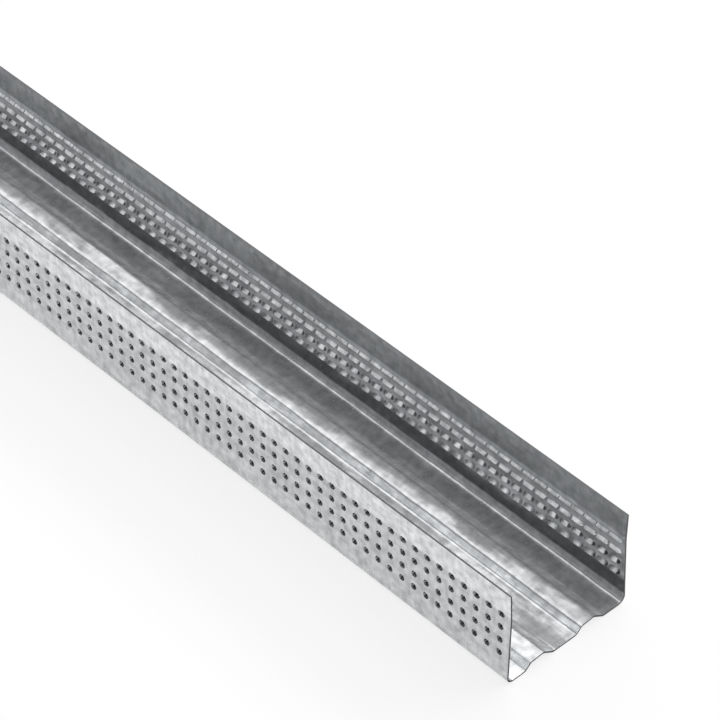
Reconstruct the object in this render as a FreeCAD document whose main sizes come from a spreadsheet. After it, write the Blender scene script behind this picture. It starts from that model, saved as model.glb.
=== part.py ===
"""Drywall track: one length of U-shaped channel, rolled from a single strip of thin galvanised steel.

The web lies flat on the floor with the channel open upwards. X runs along the track, Y across the web
and Z up. The origin is on the underside, at the middle of the length and of the width. Millimetres.
"""
import FreeCAD
import Part
import Sketcher

import enum
import os

# alias, size and what it measures; the section is measured on the outside and underside of the sheet
SIZES = [
    ("track_length", 3000, "length as sold, cut square at both ends"),
    ("sheet_thickness", 0.6, "thickness of the strip"),
    ("web_width", 50, "width over the two bottom corners, before they are rounded"),
    ("flange_height", 37, "height of the flanges above the underside of the web"),
    ("crease_height", 27, "height of the crease that runs along each flange"),
    ("crease_inset", 0.85, "how far the flange leans in at its crease"),
    ("lip_inset", 0.5, "how far the flange still leans in at its free edge, above the crease"),
    ("rib_start", 17.2, "from the middle of the web to the steep foot of the right-hand stiffening rib"),
    ("rib_pitch", 21.4, "from one rib to the other, which has the same shape and faces the same way"),
    ("rib_steep_run", 2.3, "width of a rib's steep side, on the right"),
    ("rib_crest", 5, "width of a rib's crest"),
    ("rib_gentle_run", 4.2, "width of a rib's gentle side, on the left"),
    ("rib_rise", 2.2, "how far a rib stands up into the channel at the top of its steep side"),
    ("rib_crest_rise", 0.4, "how much further a rib's crest climbs to its gentle side"),
    ("corner_radius", 2, "inside radius of the bend between web and flange"),
    ("rib_radius", 1.5, "inside radius of the bends of the ribs"),
]

# the section, from the free edge of the left flange to that of the right one: the points of the outside
# of the sheet before its bends are rounded, each with its distances across from the middle and up
LEFT_FLANGE = {
    "left free edge": ("sizes.web_width / 2 - sizes.lip_inset", "sizes.flange_height"),
    "left crease": ("sizes.web_width / 2 - sizes.crease_inset", "sizes.crease_height"),
    "left corner": ("sizes.web_width / 2", "0"),
}
RIGHT_FLANGE = {
    "right corner": ("-sizes.web_width / 2", "0"),
    "right crease": ("sizes.crease_inset - sizes.web_width / 2", "sizes.crease_height"),
    "right free edge": ("sizes.lip_inset - sizes.web_width / 2", "sizes.flange_height"),
}


def rib(side, steep_foot):
    """The points of a rib, from its gentle foot on the left to its steep foot on the right."""
    steep_crest = f"{steep_foot} + sizes.rib_steep_run"
    gentle_crest = f"{steep_crest} + sizes.rib_crest"
    gentle_foot = f"{gentle_crest} + sizes.rib_gentle_run"
    return {
        f"{side} gentle foot": (gentle_foot, "0"),
        f"{side} gentle crest": (gentle_crest, "sizes.rib_rise + sizes.rib_crest_rise"),
        f"{side} steep crest": (steep_crest, "sizes.rib_rise"),
        f"{side} steep foot": (steep_foot, "0"),
    }


RIBS = rib("left", "sizes.rib_pitch - sizes.rib_start") | rib("right", "-sizes.rib_start")
OUTLINE = LEFT_FLANGE | RIBS | RIGHT_FLANGE
CORNER_BENDS = ["left corner", "right corner"]
RIB_BENDS = list(RIBS)

# a sketch's own numbers for the ends of a line and for its origin
START, END = enum.IntEnum("LineEnd", ["START", "END"])
ORIGIN = (-1, START)

# distance within which an edge counts as passing through a point of the section
TOUCH = 1e-4


def make_sheet(doc):
    """Keep the driving sizes in a spreadsheet, one named cell each."""
    sheet = doc.addObject("Spreadsheet::Sheet", "sizes")
    for row, (alias, size, meaning) in enumerate(SIZES, start=1):
        sheet.set(f"A{row}", alias)
        sheet.set(f"B{row}", str(size))
        sheet.set(f"C{row}", meaning)
        sheet.setAlias(f"B{row}", alias)
    doc.recompute()


def origin_plane(body, role):
    """The body's own origin plane with this role."""
    return next(plane for plane in body.Origin.OriginFeatures if plane.Role == role)


def inside_points(points, thickness):
    """The outline's points carried to the inside of the sheet: each is where the lines beside it cross
    once they are moved in by the sheet's thickness."""
    inward = []
    for start, end in zip(points, points[1:]):
        along = (end - start).normalize()
        inward.append(FreeCAD.Vector(along.y, -along.x, 0))
    inside = [points[0] + inward[0] * thickness]
    for point, before, after in zip(points[1:-1], inward, inward[1:]):
        between = (before + after).normalize()
        inside.append(point + between * (thickness / between.dot(before)))
    inside.append(points[-1] + inward[-1] * thickness)
    return inside


def draw_chain(sketch, points):
    """Draw lines from point to point, joined end to end, and return their numbers."""
    chain = []
    for start, end in zip(points, points[1:]):
        chain.append(sketch.addGeometry(Part.LineSegment(start, end), False))
    for line, following in zip(chain, chain[1:]):
        sketch.addConstraint(Sketcher.Constraint("Coincident", line, END, following, START))
    return chain


def draw_cap(sketch, outer_end, inner_end):
    """Close the section with a line from the outside of the sheet to its inside."""
    line = Part.LineSegment(sketch.getPoint(*outer_end), sketch.getPoint(*inner_end))
    cap = sketch.addGeometry(line, False)
    sketch.addConstraint(Sketcher.Constraint("Coincident", cap, START, *outer_end))
    sketch.addConstraint(Sketcher.Constraint("Coincident", cap, END, *inner_end))
    return cap


def bind(sketch, kind, elements, formula):
    """Add a constraint whose value follows the spreadsheet."""
    value = sketch.evalExpression(formula)
    index = sketch.addConstraint(Sketcher.Constraint(kind, *elements, value))
    sketch.setExpression(f"Constraints[{index}]", formula)


def hold_point(sketch, line_end, across, up):
    """Hold the end of a line at its distances from the origin, or level with it where a distance is nothing."""
    for kind, level, formula in (("DistanceX", "Vertical", across), ("DistanceY", "Horizontal", up)):
        if formula == "0":
            sketch.addConstraint(Sketcher.Constraint(level, *ORIGIN, *line_end))
        else:
            bind(sketch, kind, (*ORIGIN, *line_end), formula)


def draw_section(doc, body):
    """Sketch the section with sharp bends. Returns the sketch, and for each named point of the outline its
    place on the crown of the bend there and in the hollow of it."""
    sketch = body.newObject("Sketcher::SketchObject", "section")
    sketch.AttachmentSupport = [(origin_plane(body, "YZ_Plane"), "")]
    sketch.MapMode = "FlatFace"
    outer_points = [
        FreeCAD.Vector(sketch.evalExpression(across), sketch.evalExpression(up), 0)
        for across, up in OUTLINE.values()
    ]
    inner_points = inside_points(outer_points, sketch.evalExpression("sizes.sheet_thickness"))
    outside = draw_chain(sketch, outer_points)
    inside = draw_chain(sketch, inner_points)

    line_ends = [(line, START) for line in outside] + [(outside[-1], END)]
    for line_end, (across, up) in zip(line_ends, OUTLINE.values()):
        hold_point(sketch, line_end, across, up)
    for inner_line, outer_line in zip(inside, outside):
        sketch.addConstraint(Sketcher.Constraint("Parallel", inner_line, outer_line))
        bind(sketch, "Distance", (inner_line, END, outer_line), "sizes.sheet_thickness")
    for number, line_end in ((0, START), (-1, END)):
        free_edge = draw_cap(sketch, (outside[number], line_end), (inside[number], line_end))
        sketch.addConstraint(Sketcher.Constraint("Perpendicular", free_edge, outside[number]))
    doc.recompute()

    bends = {}
    neighbours = zip(outer_points, outer_points[1:], outer_points[2:])
    names_between_ends = list(OUTLINE)[1:-1]
    for name, inner, (before, outer, after) in zip(names_between_ends, inner_points[1:-1], neighbours):
        turns_inward = (outer - before).cross(after - outer).z < 0
        bends[name] = (outer, inner) if turns_inward else (inner, outer)
    return sketch, bends


def edges_along(shape, points):
    """Names of the edges that run along the track through these points of the section."""
    names = []
    for number, edge in enumerate(shape.Edges, start=1):
        centre = edge.CenterOfMass
        for point in points:
            if centre.distanceToPoint(FreeCAD.Vector(0, point.x, point.y)) < TOUCH:
                names.append(f"Edge{number}")
    return names


def round_edges(doc, body, name, points, radius):
    """Round the long edges through these points of the section."""
    base = body.Tip
    fillet = body.newObject("PartDesign::Fillet", name)
    fillet.Base = (base, edges_along(base.Shape, points))
    fillet.setExpression("Radius", radius)
    doc.recompute()


def make_track(doc):
    """Pad the section along the track and round its bends. A bend's crown has the radius of its hollow and
    the thickness of the sheet."""
    body = doc.addObject("PartDesign::Body", "track")
    body.Label = "track"
    body.Placement = FreeCAD.Placement()
    sketch, bends = draw_section(doc, body)
    pad = body.newObject("PartDesign::Pad", "strip")
    pad.Profile = sketch
    pad.SideType = "Symmetric"
    pad.setExpression("Length", "sizes.track_length")
    doc.recompute()
    for kind, names, radius in (
        ("corner", CORNER_BENDS, "sizes.corner_radius"),
        ("rib", RIB_BENDS, "sizes.rib_radius"),
    ):
        crowns = [bends[name][0] for name in names]
        hollows = [bends[name][1] for name in names]
        round_edges(doc, body, f"{kind}_hollows", hollows, radius)
        round_edges(doc, body, f"{kind}_crowns", crowns, f"{radius} + sizes.sheet_thickness")
    return body


def check(doc, parts):
    """Stop unless every feature was computed and every part is one valid solid."""
    for item in doc.Objects:
        if {"Invalid", "Error"} & set(item.State):
            raise RuntimeError(f"{item.Name} could not be computed: {item.State}")
    for part in parts:
        if part.Shape.isNull() or not part.Shape.isValid() or len(part.Shape.Solids) != 1:
            raise RuntimeError(f"{part.Label} is not one valid solid")


doc = FreeCAD.newDocument("drywall_track")
make_sheet(doc)
parts = [make_track(doc)]
doc.recompute()
check(doc, parts)
os.makedirs("parts", exist_ok=True)
for part in parts:
    part.Shape.exportStep(f"parts/{part.Label}.step")
    box = part.Shape.BoundBox
    print(f"{part.Label}: {box.XLength:.2f} x {box.YLength:.2f} x {box.ZLength:.2f} mm, "
          f"{part.Shape.Volume / 1000:.2f} cm3")
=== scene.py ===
"""Looks of a length of galvanised drywall track: its rolled and knurled sheet, its finish and a studio.

The file is laid out as an add-on and run as a script. Metres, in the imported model's frame: X along the track,
Y across it, Z up, with the near end at the high end of X.
"""

import math

import bmesh
import bpy
from bpy.props import FloatProperty, FloatVectorProperty, IntProperty, PointerProperty
from mathutils import Matrix, Vector


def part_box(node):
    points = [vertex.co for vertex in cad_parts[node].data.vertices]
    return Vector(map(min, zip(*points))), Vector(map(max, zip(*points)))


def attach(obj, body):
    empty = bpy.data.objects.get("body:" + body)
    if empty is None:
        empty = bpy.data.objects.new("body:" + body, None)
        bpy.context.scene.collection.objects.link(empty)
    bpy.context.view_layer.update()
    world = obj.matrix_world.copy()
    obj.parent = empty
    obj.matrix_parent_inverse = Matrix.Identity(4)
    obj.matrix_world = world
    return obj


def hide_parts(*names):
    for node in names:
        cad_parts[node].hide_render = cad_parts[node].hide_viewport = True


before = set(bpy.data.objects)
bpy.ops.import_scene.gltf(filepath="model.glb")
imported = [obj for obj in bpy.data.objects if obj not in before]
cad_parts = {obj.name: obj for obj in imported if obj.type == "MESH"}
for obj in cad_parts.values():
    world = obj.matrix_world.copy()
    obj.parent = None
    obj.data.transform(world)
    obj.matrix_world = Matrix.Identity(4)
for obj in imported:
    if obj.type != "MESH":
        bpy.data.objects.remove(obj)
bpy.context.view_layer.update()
TRACK_LOW, TRACK_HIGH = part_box("track")

bl_info = {
    "name": "Drywall Track",
    "version": (1, 0, 0),
    "blender": (4, 5, 0),
    "location": "3D View > Sidebar > Track",
    "description": "Builds a length of knurled, galvanised drywall track and a plain studio around it",
    "category": "Add Mesh",
}

MM = 0.001
PIECE_NAME = "galvanised_track"
# the flanges, as the sides of the track that they stand on
LEFT, RIGHT = 1, -1
CORNER_STEPS = 8
RIB_STEPS = 5
# columns of dimples between two cross lines of the plain parts of the sheet
COLUMNS_PER_SPAN = 64
# a dimple has few faces, as there are thousands of them: a pit narrows from a hexagonal mouth to a triangular
# floor, and a bump from a hexagonal foot to a ridge. Corners are given as shares of half lengths and widths
PIT_MOUTH = [(1, 0), (0.5, 0.87), (-0.5, 0.87), (-1, 0), (-0.5, -0.87), (0.5, -0.87)]
PIT_FLOOR = [(1, -1), (0, 1), (-1, -1)]
# how large a dimple is beside a full one, and the shares of its bump's length that its straight sides and its
# ridge have: on the left flange the upper rows, from the top down, have bumps that are slimmer and blunter
FULL_DIMPLE = (1, 0.75, 0.6)
LEFT_DIMPLES = [(0.7, 0.95, 0.9), (0.85, 0.87, 0.78)]
# vertices closer than this are one vertex
WELD_DISTANCE = 0.001 * MM
# edges that turn more sharply than this are drawn crisp: sheared edges and the edges of the dimples
CRISP_ANGLE = math.radians(44)
# the middle of coloured noise, and the levels of noise at which the zinc is wholly dark and wholly pale
NOISE_MIDDLE = (0.5, 0.5, 0.5)
WHOLLY_DARK, WHOLLY_PALE = 0.35, 0.65
WHITE = (1, 1, 1, 1)
# long softboxes that hang parallel to the track: where the middle of each is along it, the degrees about the
# track from which and to which it reaches, its length and its radiance. 0 degrees is level with the floor on
# the left of the track, 90 is straight above it
SOFTBOXES = {
    "far softbox": (0, 31, 46, 6, 5.4),
    "overhead softbox": (0, 46, 113, 6, 1.6),
    "near softbox": (-1.2, 142, 158, 5, 1.0),
}
SOFTBOX_DISTANCE = 2.5
# the camera, as fitted to the photograph
CAMERA_PLACE = Vector((2.003765, -0.547753, 0.799383))
CAMERA_LOOK = Vector((-0.54011, 0.49854, -0.67804))
CAMERA_ROLL = math.radians(-0.465)
SENSOR_WIDTH = 36
# further than the furthest corner of the floor
VIEW_DEPTH = 200


def linear(hex_colour):
    """An sRGB colour such as "#B4B6B8" as linear red, green and blue."""
    channels = [int(hex_colour[place:place + 2], 16) / 255 for place in (1, 3, 5)]
    return tuple(c / 12.92 if c <= 0.04045 else ((c + 0.055) / 1.055) ** 2.4 for c in channels)


def size(name, millimetres, description):
    """A length that a user may change, given in millimetres and kept in metres."""
    return FloatProperty(
        name=name, description=description, default=millimetres * MM, min=0, unit="LENGTH", precision=5
    )


def colour(name, hex_colour, description):
    """A colour that a user may change, given as an sRGB hex value."""
    return FloatVectorProperty(
        name=name, description=description, default=linear(hex_colour), min=0, max=1, subtype="COLOR"
    )


def share(name, part, description):
    """A part of the whole that a user may change."""
    return FloatProperty(name=name, description=description, default=part, min=0, max=1, subtype="FACTOR")


class SectionSizes(bpy.types.PropertyGroup):
    """The rolled section, measured on the outside and underside of the sheet before its bends are rounded."""

    sheet: size("Sheet", 0.6, "Thickness of the strip")
    web_width: size("Web width", 50, "Width over the two bottom corners")
    flange_height: size("Flange height", 37, "Height of the flanges above the underside of the web")
    crease_height: size("Crease height", 27, "Height of the crease along each flange")
    crease_inset: size("Crease inset", 0.85, "How far the flange leans in at its crease")
    lip_inset: size("Lip inset", 0.5, "How far the flange still leans in at its free edge")
    rib_start: size("Rib start", 17.2, "From the middle of the web to the steep foot of the right-hand rib")
    rib_pitch: size("Rib pitch", 21.4, "From one rib to the other, which faces the same way")
    rib_steep_run: size("Rib steep run", 2.3, "Width of a rib's steep side, on the right")
    rib_crest: size("Rib crest", 5, "Width of a rib's crest")
    rib_gentle_run: size("Rib gentle run", 4.2, "Width of a rib's gentle side, on the left")
    rib_rise: size("Rib rise", 2.2, "How far a rib stands up into the channel at the top of its steep side")
    rib_crest_rise: size("Rib crest rise", 0.4, "How much further a rib's crest climbs to its gentle side")
    corner_radius: size("Corner radius", 2, "Inside radius of the bend between web and flange")
    rib_radius: size("Rib radius", 1.5, "Inside radius of the bends of the ribs")


class KnurlSizes(bpy.types.PropertyGroup):
    """The rows of dimples pressed into both flanges from outside, the top row on or just below the crease."""

    rows: IntProperty(name="Rows", description="Rows of dimples on each flange", default=4, min=1)
    row_pitch: size("Row pitch", 5.25, "From dimple to dimple down the right flange")
    left_row_pitch: size("Left row pitch", 4.7, "From dimple to dimple down the left flange")
    left_drop: size("Left drop", 1.65, "How far below its crease the left flange has its top row")
    column_pitch: size("Column pitch", 5.18, "From dimple to dimple along the track")
    first_column: size("First column", 3.94, "From the near end of the track to its first column of dimples")
    pit_mouth: size("Pit mouth", 1.3, "Radius of a pit at the outside of the flange")
    pit_stretch: size("Pit stretch", 0.25, "How much further along the track a pit of the top row reaches")
    pit_floor_length: size("Pit floor length", 0.85, "Half the length of a pit's floor, along the track")
    pit_floor_width: size("Pit floor width", 0.42, "Half the width of a pit's floor, up the flange")
    pit_depth: size("Pit depth", 1.1, "Depth of a pit")
    bump_width: size("Bump width", 1.0, "Half the width of a bump, up the flange")
    bump_length: size("Bump length", 2.55, "Half the length of a bump of the top row, along the track")
    bump_shortening: size("Bump shortening", 0.05, "How much of that a bump loses in each row further down")
    bump_height: size("Bump height", 1.03, "Height of a bump")


class Finish(bpy.types.PropertyGroup):
    """Colours, patterns and tones of the zinc coating and of the sheared edges, with bands of painted light and
    painted shade along the flanges.
    """

    zinc_pale: colour("Pale zinc", "#D9DADB", "Crystals of the zinc that catch the light")
    zinc_dark: colour("Dark zinc", "#A8AAAC", "Crystals of the zinc that turn away from the light")
    pale_roughness: share("Pale roughness", 0.13, "Roughness of the pale crystals")
    dark_roughness: share("Dark roughness", 0.2, "Roughness of the dark crystals")
    spangle: size("Spangle", 3, "Width of a zinc crystal")
    spangle_tilt: share("Spangle tilt", 0.08, "How far the crystals lean out of the surface")
    streak_width: size("Streak width", 1.4, "Width of the streaks and marks that the rolls leave")
    streak_length: size("Streak length", 110, "Length of a streak, along the track")
    mark_length: size("Mark length", 11.2, "Length of a mark, across the track")
    rolling: share("Rolling", 0.4, "Share of streaks and marks in the mottle of the zinc")
    frost: size("Frost", 0.5, "Grain of the matt frosting on the zinc and of the sheared edges")
    frost_depth: size("Frost depth", 0.05, "Depth of that grain")
    frost_strength: share("Frost strength", 0.15, "How much of that depth shows on the zinc")
    # the margin above a flange's crease is painted paler on the outside, a painted light, and painted darker on
    # the inside, a painted shade
    margin_start: size("Margin start", 27.5, "Height at which the margin above a flange's crease begins")
    margin_end: size("Margin end", 28.5, "Height at which that margin has its full tone")
    painted_light: share("Painted light", 0.3, "How much paler the margin is on the outside of a flange")
    # painted shade: the inside of a flange is drawn darker below this band, down to the web
    painted_shade_start: size("Film start", 9.2, "Height below which the inside of a flange is darker")
    painted_shade_end: size("Film end", 10.2, "Height from which it has its plain tone again")
    painted_shade: share("Painted shade", 0.5, "How much darker the inside of a flange is there and on its margin")
    dull_below: size("Dull below", 3.3, "Height up to which the web has dulled")
    bright_above: size("Bright above", 4.3, "Height from which the flanges are bright")
    patina: share("Patina", 0.4, "Share of the dulled web that scatters light instead of mirroring it")
    patina_tone: share("Patina tone", 0.18, "How much paler the dulled web is")
    patina_roughness: share("Patina roughness", 0.08, "How much rougher the dulled web is")
    wave_length: size("Wave length", 22, "Length of the slight waves of the web, along the track")
    wave_width: size("Wave width", 6, "Width of those waves")
    wave_tilt: share("Wave tilt", 0.4, "How far those waves lean out of the surface")
    bare_steel: colour("Sheared edge", "#5A5B5D", "Bare steel along the slit and cut edges of the strip")
    tear_tone: share("Tear tone", 0.7, "How bright the torn parts of a sheared edge are beside the rest")
    tear_strength: share("Tear strength", 0.3, "How much of the grain's depth shows on a sheared edge")
    edge_roughness: share("Edge roughness", 0.5, "Roughness of a sheared edge")


class Studio(bpy.types.PropertyGroup):
    """The floor, the grey all round and the camera's lens."""

    floor_colour: colour("Floor", "#F7F7F7", "Matte white floor")
    floor_glow: share("Floor glow", 0.8, "Share of pure white in what the camera and the steel see of it")
    floor_gap: size("Floor gap", 0.2, "How far the floor is below the track, so that the two don't coincide")
    floor_width: FloatProperty(
        name="Floor width", description="Width of the floor", default=120, min=0, unit="LENGTH"
    )
    surround: share("Surround", 0.03, "Level of the grey all round")
    lens: FloatProperty(
        name="Lens", description="Focal length of the camera", default=182.5, min=1, unit="CAMERA"
    )


class TrackSettings(bpy.types.PropertyGroup):
    """Everything that a user may change."""

    section: PointerProperty(type=SectionSizes)
    knurl: PointerProperty(type=KnurlSizes)
    finish: PointerProperty(type=Finish)
    studio: PointerProperty(type=Studio)


# The rolled section


def outline(section):
    """The outside of the section from the free edge of the left flange to that of the right one: each point
    with the inside radius and the steps of the bend there, or neither where the sheet isn't rounded."""
    half = section.web_width / 2
    corner = (section.corner_radius, CORNER_STEPS)
    rib = (section.rib_radius, RIB_STEPS)
    sharp = (0, 0)
    flange = [
        (half - section.lip_inset, section.flange_height, sharp),
        (half - section.crease_inset, section.crease_height, sharp),
        (half, 0, corner),
    ]
    web = []
    for steep_foot in (section.rib_pitch - section.rib_start, -section.rib_start):
        steep_crest = steep_foot + section.rib_steep_run
        gentle_crest = steep_crest + section.rib_crest
        web += [
            (gentle_crest + section.rib_gentle_run, 0, rib),
            (gentle_crest, section.rib_rise + section.rib_crest_rise, rib),
            (steep_crest, section.rib_rise, rib),
            (steep_foot, 0, rib),
        ]
    other_flange = [(-across, up, rounding) for across, up, rounding in reversed(flange)]
    return [(Vector((across, up)), rounding) for across, up, rounding in flange + web + other_flange]


def inward_normals(points):
    """For each line between points, the direction into the channel or up from the web."""
    normals = []
    for start, end in zip(points, points[1:]):
        along = (end - start).normalized()
        normals.append(Vector((along.y, -along.x)))
    return normals


def mitre(before, after):
    """The offset that moves a corner's two lines in by one unit each."""
    between = (before + after).normalized()
    return between / between.dot(before)


def bend(point, before, after, radius, steps, sheet):
    """Pairs of points, outside and inside of the sheet, round the bend at a corner."""
    turns_inward = before.x * after.y - before.y * after.x < 0
    reach = radius + sheet if turns_inward else -radius
    centre = point + mitre(before, after) * reach
    pairs = []
    for step in range(steps + 1):
        normal = before.slerp(after, step / steps)
        outside = centre - normal * reach
        pairs.append((outside, outside + normal * sheet))
    return pairs


class Flange:
    """The flat parts of the left flange above and below its crease, with places measured from there."""

    def __init__(self, section):
        points = [point for point, _ in outline(section)]
        self.free_edge, self.crease, corner = points[:3]
        self.upper_normal, self.lower_normal = inward_normals(points)[:2]
        self.crease_normal = mitre(self.upper_normal, self.lower_normal)
        self.up = (self.free_edge - self.crease).normalized()
        self.down = (corner - self.crease).normalized()

    def point(self, above_crease, lift):
        """A place on the flange: above or below the crease, and lifted off the outside of the sheet."""
        if above_crease > 0:
            return self.crease + self.up * above_crease + self.upper_normal * lift
        if above_crease < 0:
            return self.crease - self.down * above_crease + self.lower_normal * lift
        return self.crease + self.crease_normal * lift


def knurl_levels(rows, pitch, drop):
    """Heights above the crease of the lines that bound the rows of dimples, and of the crease itself, from
    the top down. The top row lies on the crease, or is dropped below it and bounded by it."""
    bounds = [pitch / 2 - row * pitch - drop for row in range(rows + 1)]
    return [0] + bounds[1:] if drop else bounds[:1] + [0] + bounds[1:]


def mirrored(pairs):
    """The same pairs of points on the right flange."""
    return [tuple(Vector((-place.x, place.y)) for place in pair) for pair in pairs]


def flange_lines(section, rows, pitch, drop):
    """The left flange from its free edge through its knurled panel, as pairs of points outside and inside of
    the sheet."""
    flange = Flange(section)
    lines = [(flange.free_edge, flange.free_edge + flange.upper_normal * section.sheet)]
    for level in knurl_levels(rows, pitch, drop):
        lines.append((flange.point(level, 0), flange.point(level, section.sheet)))
    return lines


def web_lines(section):
    """The web with both corner bends, as pairs of points outside and inside of the sheet."""
    corners = outline(section)
    normals = inward_normals([point for point, _ in corners])
    lines = []
    for (point, (radius, steps)), before, after in zip(corners[2:-2], normals[1:], normals[2:]):
        lines += bend(point, before, after, radius, steps, section.sheet)
    return lines


# Meshes


class Faces:
    """Faces gathered one by one, each with corners of its own, to be welded later."""

    def __init__(self):
        self.corners = []
        self.faces = []
        self.sheared = []

    def add(self, points, sheared=False):
        first = len(self.corners)
        self.corners += points
        self.faces.append(range(first, first + len(points)))
        self.sheared.append(sheared)

    def strip(self, line, following, stations, sheared=False):
        """Quads along the track between two lines of the section."""
        for start, end in zip(stations, stations[1:]):
            corners = ((start, line), (start, following), (end, following), (end, line))
            self.add([(x, *place) for x, place in corners], sheared)

    def fan(self, knurl_line, plain_line, columns):
        """Triangles from the many points of a line along the knurl to the two ends of a plain line."""
        knurl = [(x, *knurl_line) for x in columns]
        start, end = [(x, *plain_line) for x in (columns[0], columns[-1])]
        middle = len(knurl) // 2
        for point, following in zip(knurl[:middle], knurl[1:middle + 1]):
            self.add([start, point, following])
        self.add([start, knurl[middle], end])
        for point, following in zip(knurl[middle:], knurl[middle + 1:]):
            self.add([end, point, following])

    def ring(self, border, rim):
        """Triangles between an outer and an inner line round a dimple, both given in turn round it."""
        nearest = min(range(len(rim)), key=lambda place: (rim[place] - border[0]).length)
        rim = rim[nearest:] + rim[:nearest + 1]
        border = border + border[:1]
        at_border = at_rim = 0
        while at_border + at_rim < len(border) + len(rim) - 2:
            here, there = border[at_border], rim[at_rim]
            rim_left = at_rim < len(rim) - 1
            border_left = at_border < len(border) - 1
            if rim_left and (
                not border_left or (rim[at_rim + 1] - here).length < (border[at_border + 1] - there).length
            ):
                at_rim += 1
                self.add([here, there, rim[at_rim]])
            else:
                at_border += 1
                self.add([here, there, border[at_border]])

    def mesh(self, name):
        mesh = bpy.data.meshes.new(name)
        mesh.from_pydata(self.corners, [], self.faces)
        mesh.attributes.new("sheared", "BOOLEAN", "FACE").data.foreach_set("value", self.sheared)
        return mesh


def column_lines(knurl, length):
    """Places along the track of the lines between columns of dimples, from the near end."""
    first = length / 2 - knurl.first_column + knurl.column_pitch / 2
    columns = int((first + length / 2) / knurl.column_pitch)
    return [first - column * knurl.column_pitch for column in range(columns + 1)]


def plain_faces(section, knurl, length):
    """All of the track but its knurl: lips, bends, web and sheared edges, with long faces along the track."""
    faces = Faces()
    left = flange_lines(section, knurl.rows, knurl.left_row_pitch, knurl.left_drop)
    right = mirrored(flange_lines(section, knurl.rows, knurl.row_pitch, 0))
    web = web_lines(section)
    lines = column_lines(knurl, length)
    firsts = range(0, len(lines) - 1, COLUMNS_PER_SPAN)
    spans = [lines[first:first + COLUMNS_PER_SPAN + 1] for first in firsts]
    near, far = length / 2, -length / 2
    stations = [near] + [span[0] for span in spans] + [lines[-1], far]
    for flange, corner in ((left, web[0]), (right, web[-1])):
        for lip, *panel, foot in zip(*flange, corner):
            for columns in spans:
                faces.fan(panel[0], lip, columns)
                faces.fan(panel[-1], foot, columns)
            beside_end = [lip, *panel, foot]
            for end in ([near, lines[0]], [lines[-1], far]):
                for line, following in zip(beside_end, beside_end[1:]):
                    faces.strip(line, following, end)
        faces.strip(*flange[0], stations, sheared=True)
    for surface in zip(*web):
        for line, following in zip(surface, surface[1:]):
            faces.strip(line, following, stations)
    pairs = left + web + right[::-1]
    for x in (near, far):
        for pair, following in zip(pairs, pairs[1:]):
            faces.add([(x, *place) for place in (*pair, *reversed(following))], sheared=True)
    return faces


class Cell:
    """The patch of a flange round one dimple, on one face of the sheet, measured from the dimple's middle."""

    def __init__(self, flange, side, level, lift):
        self.flange = flange
        self.side = side
        self.level = level
        self.lift = lift

    def place(self, along, above, pressed=0):
        """A place in the cell, lifted off its face of the sheet where it is pressed."""
        across, up = self.flange.point(self.level + above, self.lift + pressed)
        return Vector((along, self.side * across, up))

    def shape(self, corners, half_length, half_width, pressed=0):
        """The places of corners that are given as shares of a half length and a half width."""
        return [self.place(along * half_length, above * half_width, pressed) for along, above in corners]


def add_pit(faces, cell, knurl, row, dimple):
    """Add the walls and floor of a pit, and return its rim."""
    full_share, _, _ = dimple
    stretch = knurl.pit_stretch if row == 0 else 0
    floor_length = knurl.pit_floor_length + stretch
    rim = cell.shape(PIT_MOUTH, knurl.pit_mouth + stretch, knurl.pit_mouth)
    floor = cell.shape(PIT_FLOOR, floor_length, knurl.pit_floor_width, full_share * knurl.pit_depth)
    faces.ring(rim, floor)
    faces.add(floor)
    return rim


def add_bump(faces, cell, knurl, row, dimple):
    """Add the sides of a bump, and return its rim."""
    full_share, straight, ridge = dimple
    half_length = knurl.bump_length - row * knurl.bump_shortening
    foot = [(1, 0), (straight, 1), (-straight, 1), (-1, 0), (-straight, -1), (straight, -1)]
    rim = cell.shape(foot, half_length, full_share * knurl.bump_width)
    crest = cell.shape([(ridge, 0), (-ridge, 0)], half_length, 0, full_share * knurl.bump_height)
    faces.ring(rim, crest)
    return rim


def column_faces(section, knurl):
    """One column of dimples about x = 0, as pits on the outside of both flanges and bumps on the inside."""
    faces = Faces()
    flange = Flange(section)
    half_column = knurl.column_pitch / 2
    for side, pitch, drop in ((LEFT, knurl.left_row_pitch, knurl.left_drop), (RIGHT, knurl.row_pitch, 0)):
        half_row = pitch / 2
        for add_dimple, lift in ((add_pit, 0), (add_bump, section.sheet)):
            for row in range(knurl.rows):
                cell = Cell(flange, side, -row * pitch - drop, lift)
                levels = [half_row, -half_row]
                if row == 0:
                    levels = [drop, -half_row] if drop else [half_row, 0, -half_row]
                border = [cell.place(-half_column, above) for above in levels]
                border += [cell.place(half_column, above) for above in reversed(levels)]
                smaller = side == LEFT and row < len(LEFT_DIMPLES)
                dimple = LEFT_DIMPLES[row] if smaller else FULL_DIMPLE
                faces.ring(border, add_dimple(faces, cell, knurl, row, dimple))
    return faces


def add_node(tree, kind, inputs=None, **settings):
    """Add a node with its settings. An input that is given as a socket, or as several, is linked to it."""
    node = tree.nodes.new(kind)
    for name, value in settings.items():
        setattr(node, name, value)
    for name, value in (inputs or {}).items():
        sources = value if isinstance(value, list) else [value]
        if isinstance(sources[0], bpy.types.NodeSocket):
            for source in sources:
                tree.links.new(source, node.inputs[name])
        else:
            node.inputs[name].default_value = value
    return node


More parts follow.
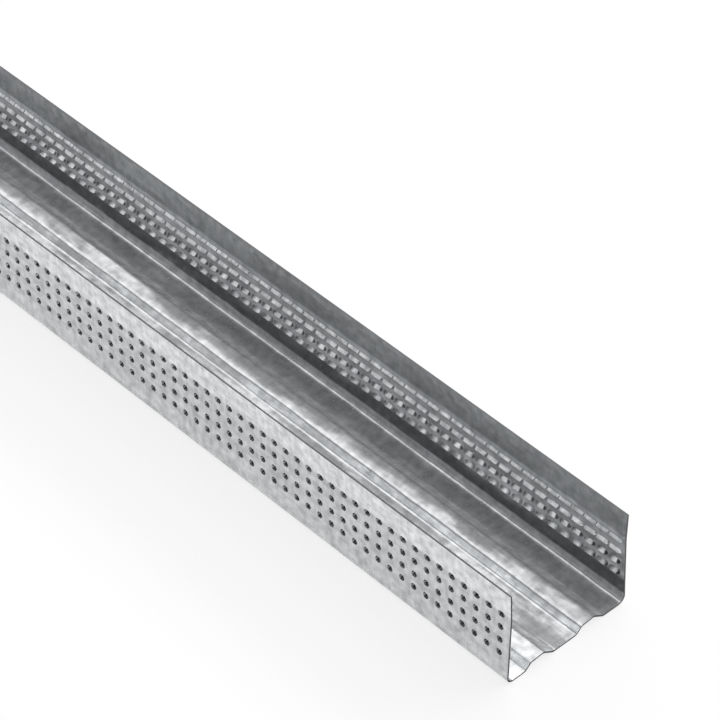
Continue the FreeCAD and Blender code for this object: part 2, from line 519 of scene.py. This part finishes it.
def knurl_tree():
    """Geometry nodes that repeat a column of dimples along the track and weld it into the plain sheet."""
    tree = bpy.data.node_groups.new("Knurled track", "GeometryNodeTree")
    for name, kind in (
        ("Plain sheet", "NodeSocketGeometry"),
        ("Column", "NodeSocketObject"),
        ("Columns", "NodeSocketInt"),
        ("First column", "NodeSocketFloat"),
        ("Step", "NodeSocketFloat"),
        ("Weld distance", "NodeSocketFloat"),
        ("Zinc", "NodeSocketMaterial"),
        ("Sheared edge", "NodeSocketMaterial"),
    ):
        tree.interface.new_socket(name, in_out="INPUT", socket_type=kind)
    tree.interface.new_socket("Track", in_out="OUTPUT", socket_type="NodeSocketGeometry")
    given = add_node(tree, "NodeGroupInput").outputs
    start = add_node(tree, "ShaderNodeCombineXYZ", {"X": given["First column"]}).outputs[0]
    step = add_node(tree, "ShaderNodeCombineXYZ", {"X": given["Step"]}).outputs[0]
    places = add_node(
        tree, "GeometryNodeMeshLine", {"Count": given["Columns"], "Start Location": start, "Offset": step}
    ).outputs[0]
    column = add_node(tree, "GeometryNodeObjectInfo", {"Object": given["Column"]}).outputs["Geometry"]
    columns = add_node(
        tree, "GeometryNodeInstanceOnPoints", {"Points": places, "Instance": column}
    ).outputs[0]
    joined = add_node(
        tree, "GeometryNodeJoinGeometry", {"Geometry": [given["Plain sheet"], columns]}
    ).outputs[0]
    realized = add_node(tree, "GeometryNodeRealizeInstances", {"Geometry": joined}).outputs[0]
    welded = add_node(
        tree, "GeometryNodeMergeByDistance", {"Geometry": realized, "Distance": given["Weld distance"]}
    ).outputs[0]
    coated = add_node(
        tree, "GeometryNodeSetMaterial", {"Geometry": welded, "Material": given["Zinc"]}
    ).outputs[0]
    sheared = add_node(
        tree, "GeometryNodeInputNamedAttribute", {"Name": "sheared"}, data_type="BOOLEAN"
    ).outputs["Attribute"]
    finished = add_node(
        tree,
        "GeometryNodeSetMaterial",
        {"Geometry": coated, "Selection": sheared, "Material": given["Sheared edge"]},
    ).outputs[0]
    add_node(tree, "NodeGroupOutput", {"Track": finished})
    return tree


def add_object(name, data):
    item = bpy.data.objects.new(name, data)
    bpy.context.scene.collection.objects.link(item)
    return item


def knurled_track(section, knurl, length, zinc, sheared_edge):
    """The whole track as one closed mesh."""
    track = add_object(PIECE_NAME, plain_faces(section, knurl, length).mesh(PIECE_NAME))
    column = add_object("knurl_column", column_faces(section, knurl).mesh("knurl_column"))
    lines = column_lines(knurl, length)
    tree = knurl_tree()
    values = {
        "Column": column,
        "Columns": len(lines) - 1,
        "First column": lines[0] - knurl.column_pitch / 2,
        "Step": -knurl.column_pitch,
        "Weld distance": WELD_DISTANCE,
        "Zinc": zinc,
        "Sheared edge": sheared_edge,
    }
    modifier = track.modifiers.new("Knurl", "NODES")
    modifier.node_group = tree
    for socket in tree.interface.items_tree:
        if socket.name in values:
            modifier[socket.identifier] = values[socket.name]
    depsgraph = bpy.context.evaluated_depsgraph_get()
    mesh = bpy.data.meshes.new_from_object(track.evaluated_get(depsgraph), depsgraph=depsgraph)
    track.modifiers.clear()
    track.data = mesh
    bpy.data.objects.remove(column)
    mesh.attributes.remove(mesh.attributes["sheared"])
    whole = bmesh.new()
    whole.from_mesh(mesh)
    bmesh.ops.recalc_face_normals(whole, faces=whole.faces)
    if any(not edge.is_manifold for edge in whole.edges):
        raise RuntimeError("The track's mesh isn't closed")
    whole.to_mesh(mesh)
    whole.free()
    mesh.shade_smooth()
    mesh.set_sharp_from_angle(angle=CRISP_ANGLE)
    return track


# Finishes


def empty_tree(owner):
    """The node tree of a material or world, without the nodes that it starts with."""
    owner.use_nodes = True
    owner.node_tree.nodes.clear()
    return owner.node_tree


def hot_dip_galvanised_steel(finish):
    """Cold-rolled strip with a hot-dip zinc coat: a soft mottle of crystals, paler and darker and each tilted a
    little, under faint streaks that the rolls drew along the strip and marks that they left across it. The web
    has dulled and is slightly wavy, and the flanges have bands of painted light and painted shade along them."""
    material = bpy.data.materials.new("hot-dip galvanised steel")
    tree = empty_tree(material)
    place = add_node(tree, "ShaderNodeTexCoord").outputs["Object"]
    flat = add_node(tree, "ShaderNodeNewGeometry").outputs["Normal"]
    height = add_node(tree, "ShaderNodeSeparateXYZ", {0: place}).outputs["Z"]

    def pattern(along, across, output="Fac", detail=3.0):
        """Noise with blotches of this length along the track and this width across it."""
        scaled = add_node(
            tree, "ShaderNodeMapping", {"Vector": place, "Scale": (1 / along, 1 / across, 1 / across)}
        ).outputs[0]
        return add_node(
            tree, "ShaderNodeTexNoise", {"Vector": scaled, "Scale": 1.0, "Detail": detail}
        ).outputs[output]

    # the mottle of the zinc: crystals, mixed with streaks and marks in equal parts
    crystal = pattern(finish.spangle, finish.spangle, "Color")
    shade = add_node(tree, "ShaderNodeSeparateColor", {"Color": crystal}).outputs["Red"]
    streak = pattern(finish.streak_length, finish.streak_width)
    mark = pattern(finish.streak_width, finish.mark_length, detail=2.0)
    rolled = add_node(tree, "ShaderNodeMix", {2: streak, 3: mark}, data_type="FLOAT").outputs[0]
    blotch = add_node(
        tree, "ShaderNodeMix", {0: finish.rolling, 2: shade, 3: rolled}, data_type="FLOAT"
    ).outputs[0]
    contrast = add_node(
        tree, "ShaderNodeMapRange", {"Value": blotch, "From Min": WHOLLY_DARK, "From Max": WHOLLY_PALE}
    ).outputs[0]
    zinc = add_node(
        tree,
        "ShaderNodeMix",
        {"Factor": contrast, "A": (*finish.zinc_dark, 1), "B": (*finish.zinc_pale, 1)},
        data_type="RGBA",
    ).outputs["Result"]
    bright = add_node(
        tree,
        "ShaderNodeMapRange",
        {"Value": contrast, "To Min": finish.dark_roughness, "To Max": finish.pale_roughness},
    ).outputs[0]

    # the web has dulled: its patina is paler and rougher than bright zinc and scatters part of the light
    dulled = add_node(
        tree,
        "ShaderNodeMapRange",
        {"Value": height, "From Min": finish.bright_above, "From Max": finish.dull_below},
    ).outputs[0]
    roughness = add_node(
        tree, "ShaderNodeMath", {0: dulled, 1: finish.patina_roughness, 2: bright}, operation="MULTIPLY_ADD"
    ).outputs[0]
    metallic = add_node(
        tree, "ShaderNodeMath", {0: dulled, 1: -finish.patina, 2: 1.0}, operation="MULTIPLY_ADD"
    ).outputs[0]

    # bands of painted light and painted shade along the flanges: the margin above the crease is painted paler
    # on the outside, a painted light, and on the inside this margin and the strip between knurl and web are
    # painted darker, a painted shade
    margin = add_node(
        tree,
        "ShaderNodeMapRange",
        {"Value": height, "From Min": finish.margin_start, "From Max": finish.margin_end},
    ).outputs[0]
    # painted shade on the inside of a flange, low down and on the margin above the crease
    painted_shade = add_node(
        tree,
        "ShaderNodeMapRange",
        {"Value": height, "From Min": finish.painted_shade_end, "From Max": finish.painted_shade_start},
    ).outputs[0]
    painted_shade = add_node(
        tree, "ShaderNodeMath", {0: painted_shade, 1: dulled}, operation="SUBTRACT", use_clamp=True
    ).outputs[0]
    painted_shade = add_node(tree, "ShaderNodeMath", {0: painted_shade, 1: margin}, operation="ADD").outputs[0]
    painted_shade = add_node(tree, "ShaderNodeMath", {0: painted_shade, 1: -finish.painted_shade}, operation="MULTIPLY").outputs[0]
    # painted light on the outside of the margin above the crease
    painted_light = add_node(
        tree, "ShaderNodeMath", {0: margin, 1: finish.painted_light}, operation="MULTIPLY"
    ).outputs[0]
    facing_out = add_node(tree, "ShaderNodeVectorMath", {0: place, 1: flat}, operation="MULTIPLY").outputs[0]
    facing_out = add_node(tree, "ShaderNodeSeparateXYZ", {0: facing_out}).outputs["Y"]
    side = add_node(tree, "ShaderNodeMath", {0: facing_out}, operation="SIGN").outputs[0]
    outer = add_node(
        tree, "ShaderNodeMapRange", {"Value": side, "From Min": -1.0, "From Max": 1.0}
    ).outputs[0]
    band = add_node(tree, "ShaderNodeMix", {0: outer, 2: painted_shade, 3: painted_light}, data_type="FLOAT").outputs[0]
    tone = add_node(
        tree, "ShaderNodeMath", {0: dulled, 1: finish.patina_tone, 2: band}, operation="MULTIPLY_ADD"
    ).outputs[0]
    tone = add_node(tree, "ShaderNodeMath", {0: tone, 1: 1.0}, operation="ADD").outputs[0]
    zinc = add_node(tree, "ShaderNodeVectorMath", {0: zinc, "Scale": tone}, operation="SCALE").outputs[0]

    # crystals lean out of the surface, and the waves of the web give the lamps' reflections ragged edges
    swell = add_node(
        tree, "ShaderNodeMath", {0: dulled, 1: finish.wave_tilt}, operation="MULTIPLY"
    ).outputs[0]
    wave = pattern(finish.wave_length, finish.wave_width, "Color")
    facing = flat
    for noise, tilt in ((crystal, finish.spangle_tilt), (wave, swell)):
        centred = add_node(
            tree, "ShaderNodeVectorMath", {0: noise, 1: NOISE_MIDDLE}, operation="SUBTRACT"
        ).outputs[0]
        lean = add_node(
            tree, "ShaderNodeVectorMath", {0: centred, "Scale": tilt}, operation="SCALE"
        ).outputs[0]
        facing = add_node(tree, "ShaderNodeVectorMath", {0: facing, 1: lean}, operation="ADD").outputs[0]
    facing = add_node(tree, "ShaderNodeVectorMath", {0: facing}, operation="NORMALIZE").outputs[0]
    # the frosting of real zinc is too fine to show, so its grain is drawn coarser
    normal = add_node(
        tree,
        "ShaderNodeBump",
        {
            "Height": pattern(finish.frost, finish.frost),
            "Normal": facing,
            "Strength": finish.frost_strength,
            "Distance": finish.frost_depth,
        },
    ).outputs[0]
    shader = add_node(
        tree,
        "ShaderNodeBsdfPrincipled",
        {"Base Color": zinc, "Metallic": metallic, "Roughness": roughness, "Normal": normal},
    ).outputs[0]
    add_node(tree, "ShaderNodeOutputMaterial", {"Surface": shader})
    return material


def sheared_steel(finish):
    """The strip's slit and cut edges: bare steel, darker and duller than the zinc, with a torn grain."""
    material = bpy.data.materials.new("sheared steel edge")
    tree = empty_tree(material)
    place = add_node(tree, "ShaderNodeTexCoord").outputs["Object"]
    grain = add_node(
        tree, "ShaderNodeTexNoise", {"Vector": place, "Scale": 1 / finish.frost, "Detail": 4.0}
    ).outputs["Fac"]
    torn = [finish.tear_tone * channel for channel in finish.bare_steel]
    steel = add_node(
        tree,
        "ShaderNodeMix",
        {"Factor": grain, "A": (*torn, 1), "B": (*finish.bare_steel, 1)},
        data_type="RGBA",
    ).outputs["Result"]
    normal = add_node(
        tree,
        "ShaderNodeBump",
        {"Height": grain, "Strength": finish.tear_strength, "Distance": finish.frost_depth},
    ).outputs[0]
    shader = add_node(
        tree,
        "ShaderNodeBsdfPrincipled",
        {"Base Color": steel, "Metallic": 1.0, "Roughness": finish.edge_roughness, "Normal": normal},
    ).outputs[0]
    add_node(tree, "ShaderNodeOutputMaterial", {"Surface": shader})
    return material


def matte_white_floor(studio):
    """Matte white studio paper with the track's shadow. The camera and the steel see it as almost white."""
    material = bpy.data.materials.new("matte white studio paper")
    tree = empty_tree(material)
    rays = add_node(tree, "ShaderNodeLightPath").outputs
    seen = rays["Is Camera Ray"]
    for kind in ("Is Glossy Ray", "Is Transmission Ray"):
        seen = add_node(tree, "ShaderNodeMath", {0: seen, 1: rays[kind]}, operation="MAXIMUM").outputs[0]
    glow = add_node(tree, "ShaderNodeMath", {0: seen, 1: studio.floor_glow}, operation="MULTIPLY").outputs[0]
    paper = add_node(tree, "ShaderNodeBsdfDiffuse", {"Color": (*studio.floor_colour, 1)}).outputs[0]
    white = add_node(tree, "ShaderNodeEmission", {"Color": WHITE, "Strength": 1.0}).outputs[0]
    mixed = add_node(tree, "ShaderNodeMixShader", {0: glow, 1: paper, 2: white}).outputs[0]
    add_node(tree, "ShaderNodeOutputMaterial", {"Surface": mixed})
    return material


# Studio


def aimed(place, target, roll=0.0):
    """A placing that looks from one point to another, level but for a roll."""
    look = Vector(target) - Vector(place)
    turn = look.to_track_quat("-Z", "Y").to_matrix().to_4x4()
    return Matrix.Translation(place) @ turn @ Matrix.Rotation(roll, 4, "Z")


def add_floor(studio):
    half = studio.floor_width / 2
    corners = [(x * half, y * half, -studio.floor_gap) for x, y in ((-1, -1), (1, -1), (1, 1), (-1, 1))]
    mesh = bpy.data.meshes.new("floor")
    mesh.from_pydata(corners, [], [range(len(corners))])
    mesh.materials.append(matte_white_floor(studio))
    add_object("floor", mesh)


def add_softbox(name, along, low, high, length, radiance):
    """Hang a softbox as the table of softboxes says."""
    middle, spread = math.radians(low + high) / 2, math.radians(high - low) / 2
    across, up = SOFTBOX_DISTANCE * math.cos(middle), SOFTBOX_DISTANCE * math.sin(middle)
    lamp = bpy.data.lights.new(name, "AREA")
    lamp.shape = "RECTANGLE"
    lamp.size = length
    lamp.size_y = 2 * SOFTBOX_DISTANCE * math.tan(spread)
    lamp.energy = radiance * math.pi * lamp.size * lamp.size_y
    add_object(name, lamp).matrix_world = aimed((along, across, up), (along, 0, 0))


def add_world(studio):
    """Dim grey all round, which the camera sees as white."""
    world = bpy.data.worlds.new("studio")
    tree = empty_tree(world)
    seen = add_node(tree, "ShaderNodeLightPath").outputs["Is Camera Ray"]
    level = add_node(
        tree, "ShaderNodeMapRange", {"Value": seen, "To Min": studio.surround, "To Max": 1.0}
    ).outputs[0]
    backdrop = add_node(tree, "ShaderNodeBackground", {"Color": WHITE, "Strength": level}).outputs[0]
    add_node(tree, "ShaderNodeOutputWorld", {"Surface": backdrop})
    bpy.context.scene.world = world


def add_camera(studio):
    camera = bpy.data.cameras.new("camera")
    camera.lens = studio.lens
    camera.sensor_width = SENSOR_WIDTH
    camera.clip_end = VIEW_DEPTH
    item = add_object("camera", camera)
    item.matrix_world = aimed(CAMERA_PLACE, CAMERA_PLACE + CAMERA_LOOK, CAMERA_ROLL)
    bpy.context.scene.camera = item


class TRACK_OT_build_track(bpy.types.Operator):
    """Build the rolled and knurled track with its finish"""

    bl_idname = "drywall_track.build_track"
    bl_label = "Track"

    def execute(self, context):
        settings = context.scene.drywall_track
        track = knurled_track(
            settings.section,
            settings.knurl,
            TRACK_HIGH[0] - TRACK_LOW[0],
            hot_dip_galvanised_steel(settings.finish),
            sheared_steel(settings.finish),
        )
        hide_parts("track")
        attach(track, "root")
        return {"FINISHED"}


class TRACK_OT_build_studio(bpy.types.Operator):
    """Lay the floor, hang the softboxes and set up the camera"""

    bl_idname = "drywall_track.build_studio"
    bl_label = "Studio"

    def execute(self, context):
        studio = context.scene.drywall_track.studio
        add_floor(studio)
        for name, hanging in SOFTBOXES.items():
            add_softbox(name, *hanging)
        add_world(studio)
        add_camera(studio)
        context.scene.view_settings.view_transform = "Standard"
        return {"FINISHED"}


class TRACK_PT_panel(bpy.types.Panel):
    """Sidebar panel with the pieces of the scene"""

    bl_idname = "TRACK_PT_panel"
    bl_label = "Drywall Track"
    bl_space_type = "VIEW_3D"
    bl_region_type = "UI"
    bl_category = "Track"

    def draw(self, context):
        for operator in (TRACK_OT_build_track, TRACK_OT_build_studio):
            self.layout.operator(operator.bl_idname)


CLASSES = (
    SectionSizes,
    KnurlSizes,
    Finish,
    Studio,
    TrackSettings,
    TRACK_OT_build_track,
    TRACK_OT_build_studio,
    TRACK_PT_panel,
)


def register():
    for item in CLASSES:
        bpy.utils.register_class(item)
    bpy.types.Scene.drywall_track = PointerProperty(type=TrackSettings)


def unregister():
    del bpy.types.Scene.drywall_track
    for item in reversed(CLASSES):
        bpy.utils.unregister_class(item)


def main():
    register()
    bpy.ops.drywall_track.build_track()
    bpy.ops.drywall_track.build_studio()


if __name__ == "__main__":
    main()
